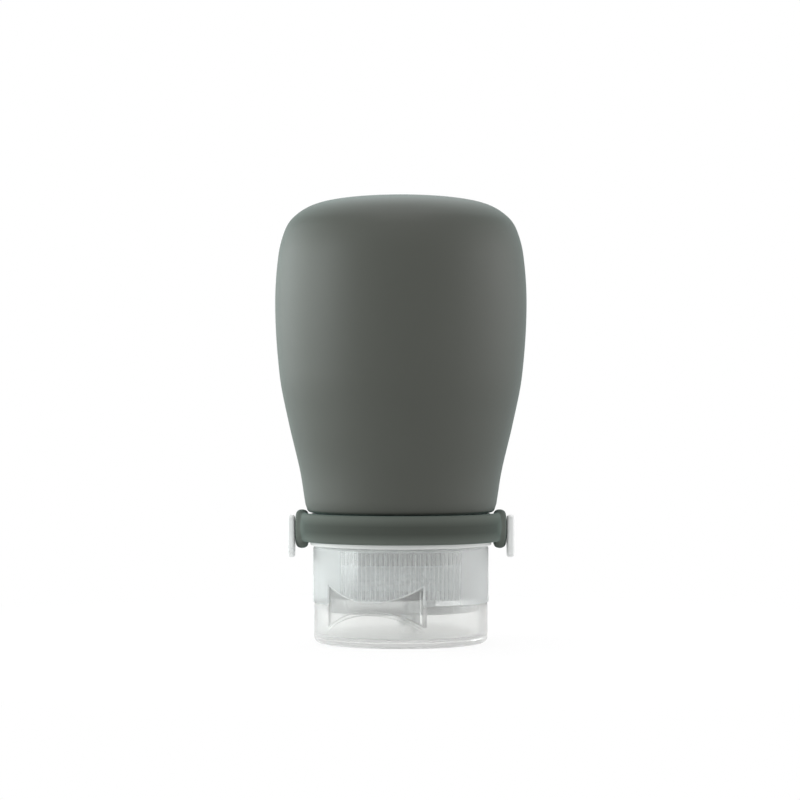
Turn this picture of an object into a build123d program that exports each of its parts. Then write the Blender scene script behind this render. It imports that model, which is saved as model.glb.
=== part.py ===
from build123d import *
import os
from math import cos, pi, radians, sin

# Travel bottle of soft silicone, stood upside down on its flip cap.
# Millimetres. The origin is on the bottle's axis, at the face that it stands on.
# +Z is up, -Y is the side that is looked at, and the strap runs round that side.

# Fits
seat_gap = 0.05
moving_gap = 0.3
overrun = 1.0

# Flip lid, the part that the bottle stands on
lid_setback = 0.17
lid_height = 7.3
lid_wall = 1.1
lid_floor = 1.2
lid_foot_round = 1.2
lid_inner_round = 0.5
plug_foot_radius = 1.85
plug_tip_radius = 1.15
plug_reach = 1.8

# Cap base, which screws onto the neck
cap_height = 9.7
skirt_gap = 1.3
skirt_wall = 0.77
skirt_rim_round = 0.3
boss_gap = 0.4
boss_drop = 1.5
boss_round = 0.3
deck_rise = 1.0
thread_sleeve_wall = 0.9
thread_clearance = 0.2
nozzle_radius = 2.25
nozzle_bore_radius = 1.65
nozzle_length = 3.2
nozzle_offset = 5.5
rib_pitch = 0.84
rib_width = 0.36
rib_depth = 0.25
rib_head_drop = 0.4
thumb_dish_radius = 16.0
thumb_dish_depth = 0.45

# Bow-tie living hinge between the cap base and the lid
hinge_azimuth = 19.9
hinge_half_span = 8.8
hinge_end_half_height = 3.6
hinge_waist_half_height = 0.77
hinge_slit = 0.14
hinge_end_slot = 0.7
hinge_web_wall = 0.5
hinge_web_inset = 0.12

# Seal ring, squeezed between the deck and the neck's lip
seal_bore_margin = 0.3
seal_thickness = 1.45
seal_round = 0.3

# Neck insert, the stiff threaded spout inside the silicone neck
insert_sleeve_radius = 11.6
insert_wall = 1.7
insert_root_step = 0.2
insert_lip_round = 0.3
thread_height = 0.5
thread_zone = 4.4
insert_grip_length = 9.2
barb_height = 0.6
barb_length = 1.2
barb_end_distance = 1.0

# Neck collar, the ring with a T-bar peg on each side
collar_wall = 2.55
collar_height = 5.7
collar_rim_gap = 0.35
collar_round = 0.35
peg_radius = 1.25
peg_height_on_collar = 2.95
bar_width = 5.0
bar_height = 7.6
bar_thickness = 1.35
bar_round = 0.6
bar_gap = 0.1

# Strap, a half ring of silicone with an eyelet at each end
strap_thickness = 2.1
strap_width = 5.0
strap_lift = 0.25
strap_round = 0.85
eyelet_radius = 3.5
eyelet_thickness = 2.35
eyelet_round = 1.0
eyelet_clearance = 0.06

# Silicone body
neck_wall = 1.95
neck_bead_radius = 0.45
neck_foot_gap = 0.3
shoulder_gap = 0.25
shoulder_overhang = 0.6
shoulder_round = 0.7
belly_radius = 22.5
belly_rise = 37.4
body_length = 56.6
body_wall = 1.8
flank_lean = 0.225
flank_shares = [(0.215, 0.195), (0.57, 0.425), (0.86, 0.655)]
crown_shares = [(0.974, 0.448), (0.924, 0.672), (0.864, 0.785), (0.738, 0.891), (0.573, 0.951), (0.311, 0.988)]

# Heights of the seams, from the standing face up
parting_z = lid_height
boss_z = parting_z - boss_drop
deck_z = parting_z + deck_rise
cap_rim_z = parting_z + cap_height
collar_z = cap_rim_z + collar_rim_gap
shoulder_z = collar_z + collar_height + shoulder_gap
belly_z = shoulder_z + belly_rise
body_top_z = shoulder_z + body_length
seal_z = deck_z + seat_gap
lip_z = seal_z + seal_thickness + seat_gap
thread_top_z = lip_z + thread_zone
neck_foot_z = thread_top_z + seat_gap
insert_top_z = thread_top_z + insert_grip_length
barb_top_z = insert_top_z - barb_end_distance
barb_foot_z = barb_top_z - barb_length
sleeve_top_z = neck_foot_z - neck_foot_gap
nozzle_tip_z = boss_z - nozzle_length
peg_z = collar_z + peg_height_on_collar
strap_z = peg_z + strap_lift - strap_width / 2

# Radii and places that follow their mates, from the insert outwards
insert_bore_radius = insert_sleeve_radius - insert_wall
insert_root_radius = insert_sleeve_radius + insert_root_step
neck_bore_radius = insert_sleeve_radius + seat_gap
neck_radius = neck_bore_radius + neck_wall
collar_bore_radius = neck_radius + seat_gap
collar_radius = collar_bore_radius + collar_wall
shoulder_radius = collar_radius + shoulder_overhang
strap_bore_radius = collar_radius + moving_gap
strap_radius = strap_bore_radius + strap_thickness
bar_x = strap_bore_radius + eyelet_thickness + bar_gap
sleeve_bore_radius = insert_root_radius + thread_height + thread_clearance
sleeve_radius = sleeve_bore_radius + thread_sleeve_wall
seal_radius = sleeve_bore_radius - moving_gap
seal_bore_radius = insert_bore_radius + seal_bore_margin
skirt_bore_radius = neck_radius + skirt_gap
cap_radius = skirt_bore_radius + skirt_wall
lid_radius = cap_radius - lid_setback
lid_bore_radius = lid_radius - lid_wall
boss_radius = lid_bore_radius - boss_gap
hinge_web_radius = lid_radius - hinge_web_inset
rib_count = round(2 * pi * skirt_bore_radius / rib_pitch)

# The hinge's middle, the plane that touches the cap there, and the nozzle behind it
hinge_out = Vector(-sin(radians(hinge_azimuth)), -cos(radians(hinge_azimuth)), 0)
hinge_side = Vector(cos(radians(hinge_azimuth)), -sin(radians(hinge_azimuth)), 0)
hinge_plane = Plane(
    origin=hinge_out * (cap_radius + overrun) + Vector(0, 0, parting_z),
    x_dir=hinge_side,
    z_dir=hinge_out,
)
nozzle_centre = hinge_out * -nozzle_offset
thumb_dish_centre = hinge_out * -(cap_radius + thumb_dish_radius - thumb_dish_depth)


def draw_flask(inset):
    """Half outline of the bottle, from the axis at its foot to the axis at its crown, drawn in by inset."""
    foot = (shoulder_radius - inset, shoulder_z + inset)
    belly = (belly_radius - inset, belly_z)
    crown_z = body_top_z - inset
    flank = [
        (foot[0] + out * (belly[0] - foot[0]), foot[1] + up * (belly[1] - foot[1]))
        for out, up in flank_shares
    ]
    crown = [(out * belly[0], belly_z + up * (crown_z - belly_z)) for out, up in crown_shares]
    Line((0, foot[1]), foot)
    Spline(foot, *flank, belly, tangents=((flank_lean, 1), (0, 1)))
    Spline(belly, *crown, (0, crown_z), tangents=((0, 1), (-1, 0)))
    Line((0, crown_z), (0, foot[1]))


def draw_bow_tie():
    """Bow-tie outline about the parting line, its waist in the middle."""
    half_span = hinge_half_span
    waist = hinge_waist_half_height
    end = hinge_end_half_height
    ThreePointArc((-half_span, end), (0, waist), (half_span, end))
    Line((half_span, end), (half_span, -end))
    ThreePointArc((half_span, -end), (0, -waist), (-half_span, -end))
    Line((-half_span, -end), (-half_span, end))


# Silicone body: a hollow pear with a neck, its belly uppermost
with BuildPart() as silicone_body:
    with BuildSketch(Plane.XZ):
        with BuildLine():
            draw_flask(0)
        make_face()
    revolve(axis=Axis.Z)
    fillet(edges().filter_by(GeomType.CIRCLE).group_by(Axis.Z)[0], radius=shoulder_round)
    with BuildSketch(Plane.XY.offset(neck_foot_z)):
        Circle(neck_radius)
    extrude(amount=shoulder_z + body_wall - neck_foot_z)
    # A bead on the neck, inside the cap's rim, keeps the collar up
    with BuildSketch(Plane.XZ):
        with Locations((neck_radius, collar_z - seat_gap - neck_bead_radius)):
            Circle(neck_bead_radius)
    revolve(axis=Axis.Z)
    with BuildSketch(Plane.XZ):
        with BuildLine():
            draw_flask(body_wall)
        make_face()
    revolve(axis=Axis.Z, mode=Mode.SUBTRACT)
    with BuildSketch(Plane.XY.offset(neck_foot_z)):
        Circle(neck_bore_radius)
    extrude(amount=shoulder_z + body_wall + overrun - neck_foot_z, mode=Mode.SUBTRACT)
    # The groove that the insert's barb snaps into
    with BuildSketch(Plane.XY.offset(barb_foot_z - seat_gap)):
        Circle(neck_bore_radius + barb_height)
    extrude(amount=barb_length + 2 * seat_gap, mode=Mode.SUBTRACT)

# Neck insert: a stiff tube whose lower end carries the thread, and whose barb grips the silicone
with BuildPart() as neck_insert:
    with BuildSketch(Plane.XZ):
        with BuildLine():
            Polyline(
                (insert_bore_radius, lip_z),
                (insert_root_radius, lip_z),
                (insert_root_radius, thread_top_z),
                (insert_sleeve_radius, thread_top_z),
                (insert_sleeve_radius, barb_foot_z),
                (insert_sleeve_radius + barb_height, barb_foot_z),
                (insert_sleeve_radius, barb_top_z),
                (insert_sleeve_radius, insert_top_z),
                (insert_bore_radius, insert_top_z),
                close=True,
            )
        make_face()
        fillet(vertices().group_by(Axis.Y)[0], radius=insert_lip_round)
    revolve(axis=Axis.Z)

# Neck collar: a ring round the silicone neck, with a T-bar peg on each side
with BuildPart() as neck_collar:
    with BuildSketch(Plane.XY.offset(collar_z)):
        Circle(collar_radius)
        Circle(collar_bore_radius, mode=Mode.SUBTRACT)
    extrude(amount=collar_height)
    fillet(edges().filter_by(GeomType.CIRCLE).group_by(SortBy.RADIUS)[-1], radius=collar_round)
    for side in (1, -1):
        # The bar's upper end is round about the peg, and the rest hangs below it
        with BuildSketch(Plane.YZ.offset(side * bar_x)):
            with Locations((0, peg_z + bar_width / 2 - bar_height / 2)):
                SlotOverall(bar_height, bar_width, rotation=90)
        extrude(amount=side * bar_thickness)
        bar_edges = edges(Select.LAST).group_by(Axis.X)
        fillet(bar_edges[0] + bar_edges[-1], radius=bar_round)
        with BuildSketch(Plane.YZ.offset(side * (collar_bore_radius + collar_radius) / 2)):
            with Locations((0, peg_z)):
                Circle(peg_radius)
        extrude(amount=side * (bar_x + bar_thickness / 2 - (collar_bore_radius + collar_radius) / 2))

# Strap: half a ring, its ends thickened into round eyelets that turn on the pegs
with BuildPart() as strap:
    with BuildSketch(Plane.XY.offset(strap_z)):
        Circle(strap_radius)
        Circle(strap_bore_radius, mode=Mode.SUBTRACT)
        Rectangle(2 * strap_radius, strap_radius, align=(Align.CENTER, Align.MIN), mode=Mode.SUBTRACT)
    extrude(amount=strap_width)
    fillet(edges().filter_by(GeomType.CIRCLE), radius=strap_round)
    for side in (1, -1):
        with BuildSketch(Plane.XZ):
            with Locations((side * (strap_bore_radius + eyelet_thickness / 2), peg_z)):
                Rectangle(eyelet_thickness, eyelet_radius, align=(Align.CENTER, Align.MIN))
            fillet(vertices().group_by(Axis.Y)[-1], radius=eyelet_round)
        revolve(axis=Axis((0, 0, peg_z), (1, 0, 0)))
    with BuildSketch(Plane.YZ):
        with Locations((0, peg_z)):
            Circle(peg_radius + eyelet_clearance)
    extrude(amount=bar_x, both=True, mode=Mode.SUBTRACT)

# Seal ring: a flat gasket that lies on the cap's deck
with BuildPart() as seal_ring:
    with BuildSketch(Plane.XZ):
        with Locations((seal_bore_radius, seal_z)):
            Rectangle(seal_radius - seal_bore_radius, seal_thickness, align=(Align.MIN, Align.MIN))
        fillet(vertices(), radius=seal_round)
    revolve(axis=Axis.Z)

# The bow-tie window, open through both walls behind the hinge
with BuildPart() as hinge_window:
    with BuildSketch(hinge_plane):
        with BuildLine():
            draw_bow_tie()
        make_face()
    extrude(amount=-(cap_radius + overrun))
    with BuildSketch():
        Circle(cap_radius + overrun)
        Circle(lid_bore_radius - seat_gap, mode=Mode.SUBTRACT)
    extrude(amount=cap_rim_z, mode=Mode.INTERSECT)

# Cap base: a ribbed outer skirt and a threaded inner sleeve on one deck, with the nozzle below
with BuildPart() as cap_base:
    with BuildSketch(Plane.XZ):
        with BuildLine():
            Polyline(
                (0, boss_z),
                (boss_radius, boss_z),
                (boss_radius, parting_z),
                (cap_radius, parting_z),
                (cap_radius, cap_rim_z),
                (skirt_bore_radius, cap_rim_z),
                (skirt_bore_radius, deck_z),
                (sleeve_radius, deck_z),
                (sleeve_radius, sleeve_top_z),
                (sleeve_bore_radius, sleeve_top_z),
                (sleeve_bore_radius, deck_z),
                (0, deck_z),
                close=True,
            )
        make_face()
        fillet(vertices().group_by(Axis.Y)[-1], radius=skirt_rim_round)
        fillet(vertices().group_by(Axis.Y)[0].sort_by(Axis.X)[-1], radius=boss_round)
    revolve(axis=Axis.Z)
    with BuildSketch(Plane.XY.offset(deck_z)):
        with PolarLocations(skirt_bore_radius, rib_count):
            Rectangle(2 * rib_depth, rib_width)
    extrude(amount=cap_rim_z - rib_head_drop - deck_z)
    with BuildSketch(Plane.XY.offset(boss_z)):
        with Locations(nozzle_centre):
            Circle(nozzle_radius)
    extrude(amount=-nozzle_length)
    with BuildSketch(Plane.XY.offset(nozzle_tip_z)):
        with Locations(nozzle_centre):
            Circle(nozzle_bore_radius)
    extrude(amount=deck_z - nozzle_tip_z, mode=Mode.SUBTRACT)
    # A shallow dish over the lid's rim, opposite the hinge, for the thumb
    with Locations(thumb_dish_centre + Vector(0, 0, parting_z)):
        Sphere(thumb_dish_radius, mode=Mode.SUBTRACT)
    add(hinge_window.part, mode=Mode.SUBTRACT)

# Flip lid: a shallow cup with a tapered plug for the nozzle
with BuildPart() as flip_lid:
    with BuildSketch():
        Circle(lid_radius)
    extrude(amount=parting_z - seat_gap)
    fillet(edges().group_by(Axis.Z)[0], radius=lid_foot_round)
    with BuildSketch(Plane.XY.offset(lid_floor)):
        Circle(lid_bore_radius)
    extrude(amount=parting_z, mode=Mode.SUBTRACT)
    fillet(faces().filter_by(Axis.Z).group_by(Axis.Z)[1].edges(), radius=lid_inner_round)
    with Locations(nozzle_centre + Vector(0, 0, lid_floor)):
        Cone(
            plug_foot_radius,
            plug_tip_radius,
            nozzle_tip_z + plug_reach - lid_floor,
            align=(Align.CENTER, Align.CENTER, Align.MIN),
        )
    add(hinge_window.part, mode=Mode.SUBTRACT)

# Hinge web: the thin bow-tie skin that joins cap base and lid, with a slot at each end
with BuildPart() as hinge_web:
    with BuildSketch(hinge_plane):
        with BuildLine():
            draw_bow_tie()
        make_face()
        offset(amount=-hinge_slit)
        Rectangle(2 * (hinge_half_span - hinge_end_slot), 2 * hinge_end_half_height, mode=Mode.INTERSECT)
    extrude(amount=-(cap_radius + overrun))
    with BuildSketch():
        Circle(hinge_web_radius)
        Circle(hinge_web_radius - hinge_web_wall, mode=Mode.SUBTRACT)
    extrude(amount=cap_rim_z, mode=Mode.INTERSECT)

pieces = {
    "silicone_body": silicone_body,
    "neck_insert": neck_insert,
    "neck_collar": neck_collar,
    "strap": strap,
    "seal_ring": seal_ring,
    "cap_base": cap_base,
    "hinge_web": hinge_web,
    "flip_lid": flip_lid,
}

os.makedirs("parts", exist_ok=True)
for name, piece in pieces.items():
    piece.part.label = name
    export_step(piece.part, f"parts/{name}.step")
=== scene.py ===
from math import atan2, copysign, cos, hypot, pi, radians, sin, sqrt

import bmesh
import bpy
from mathutils import Matrix, Vector
from mathutils.geometry import interpolate_bezier


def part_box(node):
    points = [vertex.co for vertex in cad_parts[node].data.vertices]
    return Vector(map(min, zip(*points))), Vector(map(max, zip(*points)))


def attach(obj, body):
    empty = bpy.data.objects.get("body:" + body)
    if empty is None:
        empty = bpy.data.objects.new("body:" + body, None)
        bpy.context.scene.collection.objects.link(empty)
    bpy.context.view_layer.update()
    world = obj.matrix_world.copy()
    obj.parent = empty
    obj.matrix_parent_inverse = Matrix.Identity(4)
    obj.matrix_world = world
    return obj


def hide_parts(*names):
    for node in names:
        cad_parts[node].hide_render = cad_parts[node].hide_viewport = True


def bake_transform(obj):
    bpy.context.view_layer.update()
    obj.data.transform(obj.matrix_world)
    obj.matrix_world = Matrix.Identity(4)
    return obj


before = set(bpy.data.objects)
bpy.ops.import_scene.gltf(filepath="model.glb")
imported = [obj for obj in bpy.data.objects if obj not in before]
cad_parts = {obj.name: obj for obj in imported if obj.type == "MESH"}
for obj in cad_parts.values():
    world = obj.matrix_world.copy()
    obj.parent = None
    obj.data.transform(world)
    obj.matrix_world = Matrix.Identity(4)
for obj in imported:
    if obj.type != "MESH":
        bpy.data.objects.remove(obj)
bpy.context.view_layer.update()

# Travel bottle of soft silicone, stood upside down on its frosted flip cap.
# Shapes are drawn in millimetres and brought to metres when a piece is finished.
MM = 0.001


def box_mm(node):
    """Lowest and highest corner of a construction piece, in millimetres."""
    low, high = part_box(node)
    return low / MM, high / MM


# Places taken from the construction
_, lid_high = box_mm("flip_lid")
cap_low, cap_high = box_mm("cap_base")
seal_low, seal_high = box_mm("seal_ring")
insert_low, insert_high = box_mm("neck_insert")
collar_low, collar_high = box_mm("neck_collar")
strap_low, _ = box_mm("strap")
body_low, body_high = box_mm("silicone_body")

# Flip lid
lid_radius = lid_high.x
parting_z = lid_high.z
parting_gap = 0.05
lid_wall = 1.1
lid_floor = 1.2
lid_foot_round = 1.2
lid_inner_round = 1.0
lid_rim_round = 0.12
plug_foot_radius = 1.85
plug_tip_radius = 1.15
plug_reach = 1.8
plug_round = 0.25
plug_root = 0.5

# Cap base
cap_radius = cap_high.x
cap_rim_z = cap_high.z
nozzle_tip_z = cap_low.z
skirt_wall = 0.77
skirt_rim_rise = 0.25
skirt_rim_round = 0.5
skirt_rim_inner_round = 0.2
skirt_foot_round = 0.12
boss_radius = 14.0
boss_drop = 1.5
boss_round = 0.3
deck_rise = 1.0
sleeve_bore_radius = 12.5
sleeve_wall = 0.9
sleeve_drop = 0.3
sleeve_round = 0.2
nozzle_radius = 2.25
nozzle_bore_radius = 1.65
nozzle_offset = 5.5
nozzle_root = 0.6
nozzle_round = 0.2
nozzle_bore_round = 0.1
rib_count = 111
rib_steps = 6
rib_width_steps = 2
rib_depth = 0.38
rib_head_drop = 0.4
rib_head_slope = 0.1
thumb_dish_radius = 16.0
thumb_dish_depth = 0.45

# Bow-tie hinge
hinge_azimuth = radians(19.9)
hinge_half_span = 8.8
hinge_end_half_height = 3.6
hinge_waist_half_height = 0.77
hinge_slit = 0.14
hinge_left_slot = 0.03
hinge_right_slot = 0.1
hinge_folds = 12
hinge_bead_radius = 0.12
hinge_left_bead_radius = 0.16
hinge_right_bead_radius = 0.28
hinge_bead_gap = 0.6
hinge_bead_end_height = 0.35
hinge_web_wall = 0.5
hinge_web_inset = 0.12
window_overcut = 0.05
window_reach = 2.0
window_foot_z = 1.0

# Spout, its barb and the seal
insert_root_radius = 11.8
insert_bore_radius = 9.9
insert_sleeve_radius = 11.6
insert_round = 0.3
insert_top_round = 0.1
barb_foot_drop = 2.2
barb_top_drop = 1.0
barb_height = 0.6
barb_round = 0.05
seal_width = 2.0
seal_round = 0.3

# Thread on the spout and in the cap, whose ridge starts cap_thread_start degrees farther round
thread_height = 0.5
thread_zone = 4.4
thread_lead = 2.8
thread_width = 1.0
thread_crest_share = 0.45
thread_root = 0.06
thread_turns = 1.05
thread_start_rise = 0.9
cap_thread_start = 140

# Collar and its T-bars
collar_radius = collar_high.y
collar_z = cap_rim_z + 0.35
collar_round = 0.35
collar_lip = 0.8
collar_lip_wall = 0.95
collar_lip_round = 0.15
collar_lip_root_round = 0.1
collar_clearance = 0.05
peg_radius = 1.25
peg_z = collar_z + 2.95
peg_root = 1.2
bar_width = 5.0
bar_thickness = 1.35
bar_round = 0.45

# Strap
strap_radius = -strap_low.y
strap_thickness = 2.1
strap_width = 5.1
strap_z = peg_z + 0.38 - strap_width / 2
strap_round = 0.5
strap_crown = 0.85
strap_crown_round = 5.8
strap_voxel = 0.16
strap_smoothing = 4
eyelet_radius = 3.5
eyelet_thickness = 2.35
eyelet_round = 1.0
eyelet_clearance = 0.06
eyelet_smoothing = 14
eyelet_smoothing_reach = 1.6 * eyelet_radius

# Silicone body
crown_z = body_high.z
neck_foot_z = body_low.z
neck_radius = 13.6
neck_bore_radius = 11.65
neck_round = 0.3
neck_bead = 0.45
neck_bead_drop = 0.5
neck_bead_round = 0.2
neck_bead_foot_round = 0.1
belly_radius = body_high.x
shoulder_radius = 16.8
shoulder_z = crown_z - 56.6
belly_z = shoulder_z + 37.4
shoulder_round = 0.7
shoulder_arc = radians(78)
shoulder_join = 0.2
body_wall = 1.8
flank_lean = 0.225
flank_shares = [(0.215, 0.195), (0.57, 0.425), (0.86, 0.655)]
crown_shares = [(0.974, 0.448), (0.924, 0.672), (0.864, 0.785), (0.738, 0.891), (0.573, 0.951), (0.311, 0.988)]

# Worked out from the sizes above
boss_z = parting_z - boss_drop
deck_z = parting_z + deck_rise
lid_bore_radius = lid_radius - lid_wall
skirt_bore_radius = cap_radius - skirt_wall
sleeve_radius = sleeve_bore_radius + sleeve_wall
sleeve_top_z = neck_foot_z - sleeve_drop
strap_bore_radius = strap_radius - strap_thickness
hinge_out = Vector((-sin(hinge_azimuth), -cos(hinge_azimuth), 0))
hinge_side = Vector((cos(hinge_azimuth), -sin(hinge_azimuth), 0))
nozzle_centre = hinge_out * -nozzle_offset

# Stage, in metres and degrees
camera_sensor = 36.0
camera_lens = 128.25
camera_place = (-0.00016, -0.5104, 0.04334)
softbox_size = 0.5
softbox_distance = 0.7
cool_white = (0.93, 1.0, 0.99)
room_light = 0.7
room_white = 1.0
floor_reach = 3.0
floor_white_near = 0.88
floor_white_far = 1.0
floor_fade_start = 0.03
floor_fade_end = 0.12

# How finely shapes are drawn
ROUND_STEPS = 192
SMALL_ROUND_STEPS = 64
PEG_STEPS = 48
EYELET_STEPS = 72
CORNER_STEPS = 6
LID_CORNER_STEPS = 8
SHOULDER_STEPS = 8
BAR_END_STEPS = 24
WEB_BEAD_STEPS = 8
CURVE_STEPS = 10
WINDOW_STEPS = 48
THREAD_STEPS = 96
MERGE_DISTANCE = 0.0005
SHARP_ANGLE = radians(32)
Z_ONTO_X = Matrix.Rotation(radians(90), 4, "Y")


# Outlines


def rounded(corners, segments=CORNER_STEPS):
    """Outline points from corners given as (radius, height, rounding), each rounding an arc."""
    points = []
    count = len(corners)
    for i, (r, z, rounding) in enumerate(corners):
        here = Vector((r, z))
        if not rounding:
            points.append(here)
            continue
        before = (Vector(corners[i - 1][:2]) - here).normalized()
        after = (Vector(corners[(i + 1) % count][:2]) - here).normalized()
        half = before.angle(after) / 2
        centre = here + (before + after).normalized() * rounding / sin(half)
        start = (here + before * rounding * cos(half) / sin(half) - centre).normalized()
        end = (here + after * rounding * cos(half) / sin(half) - centre).normalized()
        for step in range(segments + 1):
            points.append(centre + start.slerp(end, step / segments) * rounding)
    return points


def through(points, start_way, end_way):
    """Smooth curve through points, leaving the first along start_way and reaching the last along end_way."""
    points = [Vector(p).to_3d() for p in points]
    ways = [Vector(start_way).to_3d().normalized()]
    for before, after in zip(points, points[2:]):
        ways.append((after - before).normalized())
    ways.append(Vector(end_way).to_3d().normalized())
    curve = [points[0]]
    for a, b, way_a, way_b in zip(points, points[1:], ways, ways[1:]):
        reach = (b - a).length / 3
        curve += interpolate_bezier(a, a + way_a * reach, b - way_b * reach, b, CURVE_STEPS + 1)[1:]
    return [p.to_2d() for p in curve]


# Meshes and objects


def spin_outline(bm, outline, closed=True, steps=ROUND_STEPS):
    """Spins an outline of (radius, height) points all the way round the Z axis, joining its ends if closed."""
    verts = [bm.verts.new((p[0], 0, p[1])) for p in outline]
    pairs = list(zip(verts, verts[1:]))
    if closed:
        pairs.append((verts[-1], verts[0]))
    wire = [bm.edges.new(pair) for pair in pairs]
    bmesh.ops.spin(
        bm, geom=verts + wire, cent=(0, 0, 0), axis=(0, 0, 1), angle=2 * pi, steps=steps, use_merge=True
    )
    bmesh.ops.remove_doubles(bm, verts=bm.verts, dist=MERGE_DISTANCE)
    bmesh.ops.delete(bm, geom=[e for e in bm.edges if not e.link_faces], context="EDGES")
    bmesh.ops.recalc_face_normals(bm, faces=bm.faces)


def extrude_outline(bm, outline, way):
    """Makes a closed bar from the face that an outline bounds and the same face moved along way."""
    face = bm.faces.new([bm.verts.new(point) for point in outline])
    grown = bmesh.ops.extrude_face_region(bm, geom=[face], use_keep_orig=True)
    moved = [g for g in grown["geom"] if isinstance(g, bmesh.types.BMVert)]
    bmesh.ops.translate(bm, vec=way, verts=moved)


def add_cylinder(bm, radius, depth, place, segments):
    """Adds a closed cylinder with its middle and its axis where place puts them."""
    bmesh.ops.create_cone(
        bm, cap_ends=True, segments=segments, radius1=radius, radius2=radius, depth=depth, matrix=place
    )


def link_object(name, data):
    """An object in the scene that shows a mesh, curve, lamp or camera."""
    made = bpy.data.objects.new(name, data)
    bpy.context.scene.collection.objects.link(made)
    return made


def new_object(name, bm):
    """An object that holds the bmesh, still in millimetres."""
    mesh = bpy.data.meshes.new(name)
    bm.to_mesh(mesh)
    bm.free()
    return link_object(name, mesh)


def spun_object(name, outline, closed=True, steps=ROUND_STEPS, place=Matrix()):
    """An object spun from an outline, then moved to its place."""
    bm = bmesh.new()
    spin_outline(bm, outline, closed, steps)
    bmesh.ops.transform(bm, matrix=place, verts=bm.verts)
    return new_object(name, bm)


def evaluated_mesh(thing):
    """A mesh of what an object shows, with its modifiers or its bevel worked out."""
    bpy.context.view_layer.update()
    seen = thing.evaluated_get(bpy.context.evaluated_depsgraph_get())
    return bpy.data.meshes.new_from_object(seen)


def apply_modifiers(piece):
    """Replaces a piece's mesh with what its modifiers make of it."""
    mesh = evaluated_mesh(piece)
    old = piece.data
    piece.modifiers.clear()
    piece.data = mesh
    bpy.data.meshes.remove(old)


def combine(piece, tool, operation):
    """Joins, cuts or crops a piece with another closed shape, which is used up."""
    step = piece.modifiers.new("combine", "BOOLEAN")
    step.object = tool
    step.operation = operation
    step.solver = "EXACT"
    apply_modifiers(piece)
    bpy.data.objects.remove(tool)


def to_metres(piece, material):
    """Brings a piece to metres, smooth but crisp where faces meet at more than SHARP_ANGLE, in its material."""
    bm = bmesh.new()
    bm.from_mesh(piece.data)
    bmesh.ops.scale(bm, vec=(MM, MM, MM), verts=bm.verts)
    for face in bm.faces:
        face.smooth = True
    for edge in bm.edges:
        edge.smooth = len(edge.link_faces) != 2 or edge.calc_face_angle() < SHARP_ANGLE
    bm.to_mesh(piece.data)
    bm.free()
    piece.data.materials.clear()
    piece.data.materials.append(material)


def finish_piece(piece, body, material, replaced):
    """Finishes a piece and puts it on its body in place of its construction piece."""
    to_metres(piece, material)
    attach(piece, body)
    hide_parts(replaced)


# Material nodes


def new_material(name):
    """A material with its node tree, its shader and the coordinates that its patterns read."""
    material = bpy.data.materials.new(name)
    material.use_nodes = True
    tree = material.node_tree
    return material, tree, tree.nodes["Principled BSDF"], tree.nodes.new("ShaderNodeTexCoord")


def set_inputs(tree, node, values):
    """Feeds a node's inputs, by name or number, from another node's output or with a constant."""
    for key, value in values.items():
        if isinstance(value, bpy.types.NodeSocket):
            tree.links.new(value, node.inputs[key])
        else:
            node.inputs[key].default_value = value


def add_node(tree, kind, values):
    """Adds a node and sets its inputs."""
    node = tree.nodes.new(kind)
    set_inputs(tree, node, values)
    return node


def math_of(tree, operation, *values):
    """What a math node makes of its values."""
    node = add_node(tree, "ShaderNodeMath", dict(enumerate(values)))
    node.operation = operation
    return node.outputs["Value"]


def vector_math_of(tree, operation, *values):
    """What a vector math node makes of its values: a vector, or the number that a length or a product is."""
    node = add_node(tree, "ShaderNodeVectorMath", dict(enumerate(values)))
    node.operation = operation
    return node.outputs["Value" if operation in ("LENGTH", "DOT_PRODUCT") else "Vector"]


def noise_at(tree, coordinates, scale, detail):
    """A noise over the piece, scale in lumps per metre."""
    inputs = {"Scale": scale, "Detail": detail, "Vector": coordinates.outputs["Object"]}
    return add_node(tree, "ShaderNodeTexNoise", inputs).outputs["Fac"]


def tint_between(tree, factor, dark, light):
    """A colour that runs from dark to light as the factor runs from 0 to 1."""
    mix = tree.nodes.new("ShaderNodeMix")
    mix.data_type = "RGBA"
    set_inputs(tree, mix, {"A": (*dark, 1), "B": (*light, 1), "Factor": factor})
    return mix.outputs["Result"]


def range_between(tree, factor, low, high, start=0.0, end=1.0):
    """A value that runs from low to high as the factor runs from start to end, and is level beyond them."""
    inputs = {"Value": factor, "From Min": start, "From Max": end, "To Min": low, "To Max": high}
    return add_node(tree, "ShaderNodeMapRange", inputs).outputs["Result"]


def relief_from(tree, height, strength, distance):
    """A normal with relief from a height, distance in metres."""
    inputs = {"Height": height, "Strength": strength, "Distance": distance}
    return add_node(tree, "ShaderNodeBump", inputs).outputs["Normal"]


def away_from_axis(tree, coordinates):
    """The level vector from the bottle's axis to a point of the piece, in metres."""
    return vector_math_of(tree, "MULTIPLY", coordinates.outputs["Object"], (1, 1, 0))


def radius_between(tree, coordinates, low, high, start, end):
    """A value that runs from low to high as the radius runs from start to end, in millimetres."""
    radius = vector_math_of(tree, "LENGTH", away_from_axis(tree, coordinates))
    return range_between(tree, radius, low, high, start * MM, end * MM)


def wall_share(tree, coordinates):
    """1 on walls that run round the bottle's axis, 0 on rims, flanks of ribs and cut faces."""
    radial = vector_math_of(tree, "NORMALIZE", away_from_axis(tree, coordinates))
    along = vector_math_of(tree, "DOT_PRODUCT", radial, coordinates.outputs["Normal"])
    return range_between(tree, math_of(tree, "ABSOLUTE", along), 0, 1, start=0.4, end=0.9)


# Materials


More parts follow.
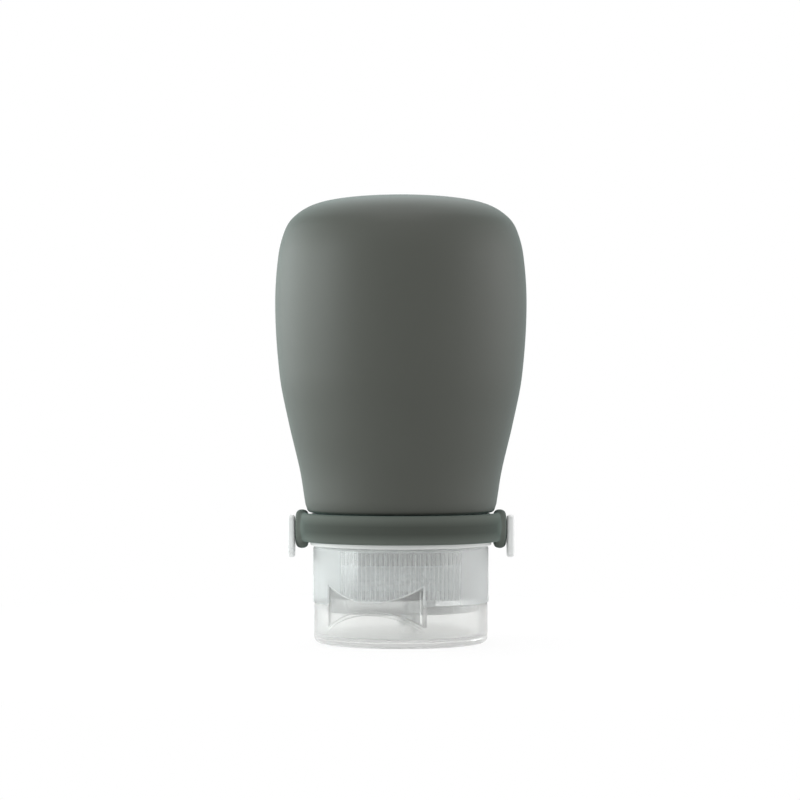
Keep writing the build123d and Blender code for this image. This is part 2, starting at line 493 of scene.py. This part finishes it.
def silicone_skin(name, roughness, specular):
    """Soft-touch silicone, still without its tint: matte, with a fine skin and a faint cool sheen."""
    material, tree, shader, coordinates = new_material(name)
    skin = noise_at(tree, coordinates, scale=6000, detail=2)
    set_inputs(tree, shader, {
        "Roughness": range_between(tree, skin, roughness - 0.06, roughness + 0.06),
        "Normal": relief_from(tree, skin, strength=0.35, distance=0.00002),
        "Specular IOR Level": specular,
        "Sheen Weight": 0.06,
        "Sheen Roughness": 0.45,
        "Sheen Tint": (0.25, 1.0, 0.92, 1),
    })
    return material, tree, shader, coordinates


def matte_silicone(name, dark, light, roughness, specular):
    """Silicone with a faint mottle from dark to light."""
    material, tree, shader, coordinates = silicone_skin(name, roughness, specular)
    mottle = noise_at(tree, coordinates, scale=60, detail=4)
    set_inputs(tree, shader, {"Base Color": tint_between(tree, mottle, dark, light)})
    return material


def strap_silicone(name, middle, rims, roughness, specular):
    """The strap's silicone with painted highlights: lighter towards its rims and on its eyelets, for the light
    that falls there.
    """
    material, tree, shader, coordinates = silicone_skin(name, roughness, specular)
    place = add_node(tree, "ShaderNodeSeparateXYZ", {"Vector": coordinates.outputs["Object"]})
    half_width = strap_width / 2
    height = math_of(tree, "SUBTRACT", place.outputs["Z"], (strap_z + half_width) * MM)
    # Painted highlight: these masks tint the strap's rims and eyelets lighter, standing in for the light on them.
    rim_highlight = range_between(
        tree, math_of(tree, "ABSOLUTE", height), 0, 1, start=0.25 * half_width * MM, end=0.8 * half_width * MM
    )
    eyelet_highlight = range_between(
        tree,
        math_of(tree, "ABSOLUTE", place.outputs["X"]),
        0,
        1,
        start=(strap_bore_radius + 0.4) * MM,
        end=(strap_bore_radius + 1.6) * MM,
    )
    painted_highlight_share = math_of(tree, "MAXIMUM", rim_highlight, eyelet_highlight)
    set_inputs(tree, shader, {"Base Color": tint_between(tree, painted_highlight_share, middle, rims)})
    return material


def frosted_plastic(name, dark, light, clear_walls, clear_edges, clear_aslant, roughness, roughness_aslant):
    """Natural polypropylene: clear where a wall is faced, milkier at its edges, blurred where it is seen aslant.

    The threaded sleeve and what lies within it are a little clearer than the skirt and the lid's wall.
    """
    material, tree, shader, coordinates = new_material(name)
    cloud = noise_at(tree, coordinates, scale=150, detail=3)
    facing = tree.nodes.new("ShaderNodeLayerWeight").outputs["Facing"]
    aslant = range_between(tree, facing, 0, 1, start=0.1, end=0.65)
    by_face = range_between(tree, wall_share(tree, coordinates), clear_edges, clear_walls)
    by_slant = range_between(tree, aslant, 1.0, clear_aslant)
    by_radius = radius_between(tree, coordinates, 1.13, 1.0, start=sleeve_radius, end=sleeve_radius + 0.3)
    clearness = math_of(tree, "MULTIPLY", math_of(tree, "MULTIPLY", by_face, by_slant), by_radius)
    set_inputs(tree, shader, {
        "Base Color": tint_between(tree, cloud, dark, light),
        "Roughness": range_between(tree, aslant, roughness, roughness_aslant),
        "Transmission Weight": math_of(tree, "MINIMUM", clearness, 1.0),
        "IOR": 1.49,
    })
    return material


def milky_plastic(name):
    """The spout's stiff plastic: milky white and barely see-through."""
    material, tree, shader, coordinates = new_material(name)
    cloud = noise_at(tree, coordinates, scale=200, detail=3)
    set_inputs(tree, shader, {
        "Base Color": tint_between(tree, cloud, (0.84, 0.91, 0.94), (0.9, 0.95, 0.98)),
        "Roughness": range_between(tree, cloud, 0.3, 0.4),
        "Normal": relief_from(tree, cloud, strength=0.1, distance=0.00002),
        "Transmission Weight": 0.05,
    })
    return material


def white_plastic(name, ring, bars):
    """White moulded plastic with a satin skin, painted lighter on the T-bars for the light they catch, and darker
    on the ring for its shade under the strap.
    """
    material, tree, shader, coordinates = new_material(name)
    grain = noise_at(tree, coordinates, scale=7000, detail=2)
    # Painted light and shade: the T-bars are tinted lighter than the ring, for how each is lit.
    painted_light_on_bars = radius_between(tree, coordinates, 0, 1, start=collar_radius + 1.0, end=collar_radius + 2.0)
    set_inputs(tree, shader, {
        "Base Color": tint_between(tree, painted_light_on_bars, ring, bars),
        "Roughness": range_between(tree, grain, 0.28, 0.38),
        "Normal": relief_from(tree, grain, strength=0.15, distance=0.00001),
    })
    return material


# Pieces


def flask_outline(inset):
    """The pear's outline in two parts, from its foot to the belly and on to the crown, drawn in by inset."""
    foot = (shoulder_radius - inset, shoulder_z + inset)
    belly = (belly_radius - inset, belly_z)
    top = crown_z - inset
    flank = [
        (foot[0] + out * (belly[0] - foot[0]), foot[1] + up * (belly[1] - foot[1]))
        for out, up in flank_shares
    ]
    crown = [(out * belly[0], belly_z + up * (top - belly_z)) for out, up in crown_shares]
    lower = through([foot, *flank, belly], (flank_lean, 1), (0, 1))
    upper = through([belly, *crown, (0, top)], (0, 1), (-1, 0))
    return lower, upper


def make_silicone_body(material):
    """The hollow flask: neck, rounded shoulder, belly and crown outside, the same drawn in inside."""
    outer_lower, outer_upper = flask_outline(0)
    inner_lower, inner_upper = flask_outline(body_wall)
    bead_z = collar_z - neck_bead_drop
    foot = (neck_bore_radius + neck_round, neck_foot_z)
    # The arc at the bore's corner is left out, because the outline starts and ends at its foot
    neck = rounded([
        (neck_bore_radius, neck_foot_z, neck_round),
        (neck_radius, neck_foot_z, neck_round),
        (neck_radius, bead_z - neck_bead, neck_bead_foot_round),
        (neck_radius + neck_bead, bead_z, neck_bead_round),
        (neck_radius, bead_z + neck_bead, neck_bead_foot_round),
        (neck_radius, shoulder_z, 0),
    ])[CORNER_STEPS + 1:]
    corner = [
        (shoulder_radius - shoulder_round * (1 - sin(a)), shoulder_z + shoulder_round * (1 - cos(a)))
        for a in (shoulder_arc * step / SHOULDER_STEPS for step in range(SHOULDER_STEPS + 1))
    ]
    above_corner = [p for p in outer_lower + outer_upper[1:] if p[1] > corner[-1][1] + shoulder_join]
    inside = (inner_lower + inner_upper[1:])[::-1]
    bore = [(neck_bore_radius, shoulder_z + body_wall), (neck_bore_radius, neck_foot_z + neck_round)]
    outline = [foot] + neck + corner + above_corner + inside + bore + [foot]
    flask = spun_object("silicone_flask", outline, closed=False)
    finish_piece(flask, "bottle", material, "silicone_body")


def bar_tool(side):
    """One T-bar with its stem: the bar's upper end is round about the peg and the rest hangs below."""
    bar_outer_x = collar_high.x
    bar_inner_x = bar_outer_x - bar_thickness
    half_width = bar_width / 2
    outline = []
    for centre_z, first in ((peg_z, 0), (collar_low.z + half_width, pi)):
        for step in range(BAR_END_STEPS + 1):
            a = first + pi * step / BAR_END_STEPS
            outline.append((side * bar_inner_x, half_width * cos(a), centre_z + half_width * sin(a)))
    bm = bmesh.new()
    extrude_outline(bm, outline, (side * bar_thickness, 0, 0))
    rims = [e for f in bm.faces if len(f.verts) == len(outline) for e in f.edges]
    bmesh.ops.bevel(bm, geom=rims, offset=bar_round, segments=6, profile=0.5, affect="EDGES", material=-1)
    stem_start = neck_radius + peg_root
    stem_length = bar_outer_x - bar_thickness / 2 - stem_start
    place = Matrix.Translation((side * (stem_start + stem_length / 2), 0, peg_z)) @ Z_ONTO_X
    add_cylinder(bm, peg_radius, stem_length, place, PEG_STEPS)
    bmesh.ops.recalc_face_normals(bm, faces=bm.faces)
    return new_object("bar", bm)


def make_collar(material):
    """The white ring round the neck with its two T-bar pegs."""
    inner = neck_radius + collar_clearance
    top = collar_high.z
    ring = spun_object("collar_ring", rounded([
        (inner, collar_z - collar_lip, collar_lip_round),
        (inner + collar_lip_wall, collar_z - collar_lip, collar_lip_round),
        (inner + collar_lip_wall, collar_z, collar_lip_root_round),
        (collar_radius, collar_z, collar_round),
        (collar_radius, top, collar_round),
        (inner, top, collar_lip_round),
    ]))
    for side in (1, -1):
        combine(ring, bar_tool(side), "UNION")
    finish_piece(ring, "bottle", material, "neck_collar")


def strap_half_ring():
    """The strap's band on its own, with a slightly crowned outer face."""
    top = strap_z + strap_width
    section = rounded([
        (strap_bore_radius, strap_z, strap_round),
        (strap_radius - strap_crown, strap_z, strap_round),
        (strap_radius, strap_z + strap_width / 2, strap_crown_round),
        (strap_radius - strap_crown, top, strap_round),
        (strap_bore_radius, top, strap_round),
    ])
    bm = bmesh.new()
    end = bm.faces.new([bm.verts.new((p[0], 0, p[1])) for p in section])
    bmesh.ops.spin(
        bm, geom=[end], cent=(0, 0, 0), axis=(0, 0, -1), angle=pi, steps=ROUND_STEPS // 2, use_merge=False
    )
    bmesh.ops.remove_doubles(bm, verts=bm.verts, dist=MERGE_DISTANCE)
    bmesh.ops.recalc_face_normals(bm, faces=bm.faces)
    return new_object("strap_band", bm)


def soften_strap(strap):
    """Evens out the strap's mesh and smooths it, most of all where the band runs into its eyelets."""
    remesh = strap.modifiers.new("even", "REMESH")
    remesh.mode = "VOXEL"
    remesh.voxel_size = strap_voxel
    apply_modifiers(strap)
    bm = bmesh.new()
    bm.from_mesh(strap.data)
    for rounds, reach in ((strap_smoothing, 2 * strap_radius), (eyelet_smoothing, eyelet_smoothing_reach)):
        near = [v for v in bm.verts if v.co.y > -reach]
        for _ in range(rounds):
            bmesh.ops.smooth_vert(bm, verts=near, factor=0.5, use_axis_x=True, use_axis_y=True, use_axis_z=True)
    bm.to_mesh(strap.data)
    bm.free()


def make_strap(material):
    """The half-ring band and its two eyelets, run together as one soft moulding."""
    strap = strap_half_ring()
    half = eyelet_thickness / 2
    for side in (1, -1):
        place = Matrix.Translation((side * (strap_bore_radius + half), 0, peg_z)) @ Z_ONTO_X
        eyelet = spun_object("eyelet", rounded([
            (0, -half, 0),
            (eyelet_radius, -half, eyelet_round),
            (eyelet_radius, half, eyelet_round),
            (0, half, 0),
        ]), closed=False, steps=EYELET_STEPS, place=place)
        combine(strap, eyelet, "UNION")
    soften_strap(strap)
    bm = bmesh.new()
    place = Matrix.Translation((0, 0, peg_z)) @ Z_ONTO_X
    add_cylinder(bm, peg_radius + eyelet_clearance, 3 * strap_radius, place, PEG_STEPS)
    combine(strap, new_object("eyelet_holes", bm), "DIFFERENCE")
    finish_piece(strap, "strap", material, "strap")


def make_seal(material):
    """The gasket on the cap's deck."""
    gasket = spun_object("gasket", rounded([
        (seal_high.x - seal_width, seal_low.z, seal_round),
        (seal_high.x, seal_low.z, seal_round),
        (seal_high.x, seal_high.z, seal_round),
        (seal_high.x - seal_width, seal_high.z, seal_round),
    ]))
    finish_piece(gasket, "seal", material, "seal_ring")


def thread_tool(radius, height, start_z, start_angle):
    """A right-handed ridge wound round the Z axis, height outward from radius, or inward if negative."""
    half = thread_width / 2
    crest = half * thread_crest_share
    root = radius - copysign(thread_root, height)
    profile = [
        (root, -half),
        (radius, -half),
        (radius + height, -crest),
        (radius + height, crest),
        (radius, half),
        (root, half),
    ]
    bm = bmesh.new()
    verts = [bm.verts.new((r * cos(start_angle), r * sin(start_angle), start_z + z)) for r, z in profile]
    end = bm.faces.new(verts)
    steps = round(thread_turns * THREAD_STEPS)
    bmesh.ops.spin(
        bm,
        geom=[end],
        cent=(0, 0, 0),
        axis=(0, 0, 1),
        dvec=(0, 0, thread_lead / THREAD_STEPS),
        angle=2 * pi * steps / THREAD_STEPS,
        steps=steps,
        use_merge=False,
    )
    bmesh.ops.recalc_face_normals(bm, faces=bm.faces)
    return new_object("thread", bm)


def make_insert(material):
    """The threaded spout inside the silicone neck, with the barb that holds it there."""
    lip_z = insert_low.z
    top = insert_high.z
    thread_top_z = lip_z + thread_zone
    barb_foot_z = top - barb_foot_drop
    insert = spun_object("threaded_spout", rounded([
        (insert_bore_radius, lip_z, insert_round),
        (insert_root_radius, lip_z, insert_round),
        (insert_root_radius, thread_top_z, 0),
        (insert_sleeve_radius, thread_top_z, 0),
        (insert_sleeve_radius, barb_foot_z, 0),
        (insert_sleeve_radius + barb_height, barb_foot_z, barb_round),
        (insert_sleeve_radius, top - barb_top_drop, 0),
        (insert_sleeve_radius, top, insert_top_round),
        (insert_bore_radius, top, insert_round),
    ]))
    thread = thread_tool(insert_root_radius, thread_height, lip_z + thread_start_rise, 0)
    combine(insert, thread, "UNION")
    finish_piece(insert, "bottle", material, "neck_insert")


def bow_tie_height(u):
    """Half the window's height at u along it: least at the waist, and an arc up to each end."""
    rise = hinge_end_half_height - hinge_waist_half_height
    arc_radius = (hinge_half_span ** 2 + rise ** 2) / (2 * rise)
    return hinge_waist_half_height + arc_radius - sqrt(arc_radius ** 2 - u ** 2)


def bow_tie_tool(trim, left_cut, right_cut):
    """A bow-tie bar that runs in through the wall at the hinge, drawn in by trim, each end cut short."""
    left, right = left_cut - hinge_half_span, hinge_half_span - right_cut
    reach = cap_radius + 1
    outside = hinge_out * reach + Vector((0, 0, parting_z + parting_gap / 2))
    outline = []
    for upward, start, end in ((1, right, left), (-1, left, right)):
        for step in range(WINDOW_STEPS + 1):
            u = start + (end - start) * step / WINDOW_STEPS
            height = upward * (bow_tie_height(u) - trim)
            outline.append(outside + hinge_side * u + Vector((0, 0, height)))
    bm = bmesh.new()
    extrude_outline(bm, outline, hinge_out * -reach)
    bmesh.ops.recalc_face_normals(bm, faces=bm.faces)
    return new_object("bow_tie", bm)


def ring_tool(inner, outer):
    """A plain ring from below the window to the cap's rim, for cropping the bow tie to the walls."""
    low, high = window_foot_z, cap_rim_z
    return spun_object("ring", [(inner, low), (outer, low), (outer, high), (inner, high)])


def window_tool():
    """The bow-tie window that is open through the cap's skirt and the lid's wall."""
    window = bow_tie_tool(0, 0, 0)
    combine(window, ring_tool(lid_bore_radius - window_overcut, cap_radius + window_reach), "INTERSECT")
    return window


def bead(path, radius, bead_radius):
    """A fine bead on a wall of this radius, through points given along the window and above its middle."""
    curve = bpy.data.curves.new("bead", "CURVE")
    curve.dimensions = "3D"
    curve.bevel_depth = bead_radius
    curve.bevel_resolution = 3
    curve.use_fill_caps = True
    spline = curve.splines.new("POLY")
    spline.points.add(len(path) - 1)
    for point, (u, height) in zip(spline.points, path):
        place = hinge_out * sqrt(radius ** 2 - u ** 2) + hinge_side * u
        point.co = (place.x, place.y, parting_z + height, 1)
    line = link_object("bead", curve)
    mesh = evaluated_mesh(line)
    bpy.data.objects.remove(line)
    return link_object("bead", mesh)


def bead_along_window(upward, outward, radius):
    """A bead along the window's upper or lower side, outward from its edge.

    On the edge itself it turns the corners and runs on along the window's ends.
    """
    limit = hinge_half_span + (0 if outward else hinge_bead_radius)
    places = [limit * (2 * step / WINDOW_STEPS - 1) for step in range(WINDOW_STEPS + 1)]
    path = [(u, upward * (bow_tie_height(u) + outward)) for u in places]
    if not outward:
        end_height = upward * hinge_bead_end_height
        path = [(-limit, end_height), *path, (limit, end_height)]
    return bead(path, radius, hinge_bead_radius)


def raise_ribs(bm, head_z):
    """Brings each rib's columns of vertices inward from the skirt's wall, below head_z."""
    for vert in bm.verts:
        x, y, z = vert.co
        radius = hypot(x, y)
        column = round(atan2(y, x) / (2 * pi) * rib_count * rib_steps) % rib_steps
        on_wall = abs(radius - skirt_bore_radius) < 0.01
        if on_wall and column < rib_width_steps and z < head_z:
            vert.co.x *= (radius - rib_depth) / radius
            vert.co.y *= (radius - rib_depth) / radius


def ribbed_cup():
    """The cap base before its cuts: skirt with ribs, threaded sleeve and deck."""
    skirt_foot_z = parting_z + parting_gap
    skirt_rim_z = cap_rim_z + skirt_rim_rise
    rib_head_z = cap_rim_z - rib_head_drop
    bm = bmesh.new()
    spin_outline(bm, rounded([
        (0, boss_z, 0),
        (boss_radius, boss_z, boss_round),
        (boss_radius, skirt_foot_z, 0),
        (cap_radius, skirt_foot_z, skirt_foot_round),
        (cap_radius, skirt_rim_z, skirt_rim_round),
        (skirt_bore_radius, skirt_rim_z, skirt_rim_inner_round),
        (skirt_bore_radius, rib_head_z - rib_head_slope, 0),
        (skirt_bore_radius, rib_head_z - 2 * rib_head_slope, 0),
        (skirt_bore_radius, deck_z, 0),
        (sleeve_radius, deck_z, 0),
        (sleeve_radius, sleeve_top_z, sleeve_round),
        (sleeve_bore_radius, sleeve_top_z, sleeve_round),
        (sleeve_bore_radius, deck_z, 0),
        (0, deck_z, 0),
    ]), closed=False, steps=rib_count * rib_steps)
    raise_ribs(bm, rib_head_z - 1.5 * rib_head_slope)
    return new_object("frosted_cap_base", bm)


def thumb_dish_tool():
    """The ball that leaves a shallow dish for the thumb, opposite the hinge."""
    centre = hinge_out * -(cap_radius + thumb_dish_radius - thumb_dish_depth) + Vector((0, 0, parting_z))
    bm = bmesh.new()
    bmesh.ops.create_uvsphere(
        bm, u_segments=128, v_segments=128, radius=thumb_dish_radius, matrix=Matrix.Translation(centre)
    )
    return new_object("thumb_dish", bm)


def make_cap_base(material):
    """The screw-on base: ribbed skirt, threaded sleeve and deck in one, with the nozzle below."""
    cap = ribbed_cup()
    combine(cap, window_tool(), "DIFFERENCE")
    combine(cap, bead_along_window(1, 0, cap_radius), "UNION")
    nozzle_root_z = boss_z + nozzle_root
    nozzle = spun_object("nozzle", rounded([
        (nozzle_bore_radius, nozzle_tip_z, nozzle_bore_round),
        (nozzle_radius, nozzle_tip_z, nozzle_round),
        (nozzle_radius, nozzle_root_z, 0),
        (nozzle_bore_radius, nozzle_root_z, 0),
    ]), steps=SMALL_ROUND_STEPS, place=Matrix.Translation(nozzle_centre))
    combine(cap, nozzle, "UNION")
    bm = bmesh.new()
    place = Matrix.Translation(nozzle_centre + Vector((0, 0, deck_z)))
    add_cylinder(bm, nozzle_bore_radius, 4 * boss_drop, place, SMALL_ROUND_STEPS)
    combine(cap, new_object("nozzle_bore", bm), "DIFFERENCE")
    combine(cap, thumb_dish_tool(), "DIFFERENCE")
    # The cap's ridge runs midway between the turns of the spout's
    start_z = insert_low.z + thread_start_rise + thread_lead * (cap_thread_start / 360 - 0.5)
    thread = thread_tool(sleeve_bore_radius, -thread_height, start_z, radians(cap_thread_start))
    combine(cap, thread, "UNION")
    finish_piece(cap, "cap", material, "cap_base")


def make_lid(material):
    """The flip lid: a shallow cup with a tapered plug for the nozzle."""
    lid = spun_object("frosted_lid", rounded([
        (0, 0, 0),
        (lid_radius, 0, lid_foot_round),
        (lid_radius, parting_z, lid_rim_round),
        (lid_bore_radius, parting_z, lid_rim_round),
        (lid_bore_radius, lid_floor, lid_inner_round),
        (0, lid_floor, 0),
    ], LID_CORNER_STEPS), closed=False)
    combine(lid, window_tool(), "DIFFERENCE")
    for outward in (0, hinge_bead_gap):
        combine(lid, bead_along_window(-1, outward, lid_radius), "UNION")
    plug_foot_z = lid_floor - plug_root
    plug_tip_z = nozzle_tip_z + plug_reach
    plug = spun_object("plug", rounded([
        (0, plug_foot_z, 0),
        (plug_foot_radius, plug_foot_z, 0),
        (plug_foot_radius, lid_floor, 0),
        (plug_tip_radius, plug_tip_z, plug_round),
        (0, plug_tip_z, 0),
    ]), closed=False, steps=SMALL_ROUND_STEPS, place=Matrix.Translation(nozzle_centre))
    combine(lid, plug, "UNION")
    finish_piece(lid, "lid", material, "flip_lid")


def crease(web):
    """Cuts the web's faces along level lines across the waist, so that it can bend there."""
    bm = bmesh.new()
    bm.from_mesh(web.data)
    for fold in range(hinge_folds + 1):
        height = parting_z + hinge_waist_half_height * (2 * fold / hinge_folds - 1)
        bmesh.ops.bisect_plane(
            bm, geom=bm.verts[:] + bm.edges[:] + bm.faces[:], plane_co=(0, 0, height), plane_no=(0, 0, 1)
        )
    bm.to_mesh(web.data)
    bm.free()


def make_hinge_web(material):
    """The living hinge's bow-tie skin, only a film, with a bead at each end."""
    web = bow_tie_tool(hinge_slit, hinge_left_slot, hinge_right_slot)
    outer = lid_radius - hinge_web_inset
    combine(web, ring_tool(outer - hinge_web_wall, outer), "INTERSECT")
    left_end = hinge_left_slot - hinge_half_span + hinge_left_bead_radius
    right_end = hinge_half_span - hinge_right_slot - hinge_right_bead_radius
    for end, bead_radius in ((left_end, hinge_left_bead_radius), (right_end, hinge_right_bead_radius)):
        reach = bow_tie_height(end) - hinge_slit - bead_radius
        upright = [(end, reach * step / WEB_BEAD_STEPS) for step in range(-WEB_BEAD_STEPS, WEB_BEAD_STEPS + 1)]
        combine(web, bead(upright, outer, bead_radius), "UNION")
    crease(web)
    to_metres(web, material)
    web.name = "bow_tie_web"
    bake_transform(web)
    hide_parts("hinge_web")


# Stage


def seen_share(tree):
    """1 for what the camera sees, directly, mirrored or through plastic, and 0 for light that fills the room."""
    path = tree.nodes.new("ShaderNodeLightPath")
    seen = math_of(tree, "MAXIMUM", path.outputs["Is Camera Ray"], path.outputs["Is Glossy Ray"])
    return math_of(tree, "MAXIMUM", seen, path.outputs["Is Transmission Ray"])


def make_world():
    """White surroundings, level for the light and full white where they are seen."""
    world = bpy.data.worlds.new("white_room")
    bpy.context.scene.world = world
    world.use_nodes = True
    tree = world.node_tree
    strength = range_between(tree, seen_share(tree), room_light, room_white)
    set_inputs(tree, tree.nodes["Background"], {"Color": (1, 1, 1, 1), "Strength": strength})


def make_floor():
    """A plain white floor that keeps a little of the bottle's shadow and runs out into the white surroundings."""
    bm = bmesh.new()
    bmesh.ops.create_grid(bm, x_segments=1, y_segments=1, size=floor_reach)
    floor = new_object("floor", bm)
    material, tree, shader, coordinates = new_material("floor_white")
    set_inputs(tree, shader, {"Base Color": (0.9, 0.9, 0.9, 1), "Roughness": 0.9, "Specular IOR Level": 0.0})
    distance = vector_math_of(tree, "LENGTH", coordinates.outputs["Object"])
    white = range_between(
        tree, distance, floor_white_near, floor_white_far, start=floor_fade_start, end=floor_fade_end
    )
    share = math_of(tree, "MULTIPLY", seen_share(tree), white)
    glow = add_node(tree, "ShaderNodeEmission", {"Color": (1, 1, 1, 1), "Strength": 1.0})
    inputs = {"Fac": share, 1: shader.outputs["BSDF"], 2: glow.outputs["Emission"]}
    blend = add_node(tree, "ShaderNodeMixShader", inputs)
    set_inputs(tree, tree.nodes["Material Output"], {"Surface": blend.outputs["Shader"]})
    floor.data.materials.append(material)


def make_lamp(name, azimuth, height_angle, watts, tint=(1, 1, 1), through_plastic=True):
    """A square softbox that faces the bottle's middle, turned azimuth degrees to the right of the camera."""
    lamp = bpy.data.lights.new(name, "AREA")
    lamp.shape = "SQUARE"
    lamp.size = softbox_size
    lamp.energy = watts
    lamp.color = tint
    middle = Vector((0, 0, crown_z * MM / 2))
    sideways = radians(azimuth)
    upward = radians(height_angle)
    away = Vector((sin(sideways) * cos(upward), -cos(sideways) * cos(upward), sin(upward)))
    holder = link_object(name, lamp)
    holder.location = middle + away * softbox_distance
    holder.rotation_euler = away.to_track_quat("Z", "Y").to_euler()
    holder.visible_transmission = through_plastic


def make_camera():
    """Straight on and level, from about half a metre, as the photograph was taken."""
    camera = bpy.data.cameras.new("camera")
    camera.sensor_width = camera_sensor
    camera.lens = camera_lens
    holder = link_object("camera", camera)
    holder.location = camera_place
    holder.rotation_euler = (radians(90), 0, 0)
    bpy.context.scene.camera = holder


make_camera()
make_world()
make_floor()
make_lamp("left_back_softbox", -118, 0, 3.9, cool_white)
make_lamp("left_softbox", -77, 0, 5.15, cool_white, through_plastic=False)
make_lamp("right_back_softbox", 105, 3, 1.75)
make_lamp("right_softbox", 75, 3, 1.3)
make_lamp("top_softbox", 0, 75, 1.4)
make_lamp("back_softbox", 180, 50, 1.4)

make_silicone_body(matte_silicone(
    "flask_silicone", dark=(0.0405, 0.0435, 0.035), light=(0.0465, 0.05, 0.041), roughness=0.56, specular=0.5
))
# The strap's rims colour is a painted highlight on its rims and eyelets.
make_strap(strap_silicone(
    "strap_silicone", middle=(0.051, 0.057, 0.049), rims=(0.092, 0.102, 0.09), roughness=0.75, specular=0.1
))
make_seal(matte_silicone(
    "gasket_silicone", dark=(0.022, 0.03, 0.034), light=(0.028, 0.037, 0.042), roughness=0.6, specular=0.3
))
# The lighter bars colour is painted light, and the ring's darker white is painted shade.
make_collar(white_plastic("white_polypropylene", ring=(0.6, 0.61, 0.6), bars=(0.76, 0.77, 0.765)))
make_insert(milky_plastic("milky_polypropylene"))
make_cap_base(frosted_plastic(
    "clear_polypropylene",
    dark=(0.935, 0.957, 0.953),
    light=(0.96, 0.977, 0.972),
    clear_walls=0.78,
    clear_edges=0.22,
    clear_aslant=1.02,
    roughness=0.09,
    roughness_aslant=0.65,
))
frosted_lid = frosted_plastic(
    "frosted_polypropylene",
    dark=(0.965, 0.97, 0.96),
    light=(0.985, 0.99, 0.98),
    clear_walls=0.86,
    clear_edges=0.3,
    clear_aslant=1.0,
    roughness=0.14,
    roughness_aslant=0.26,
)
make_lid(frosted_lid)
make_hinge_web(frosted_lid)

bpy.context.scene.view_settings.view_transform = "Standard"
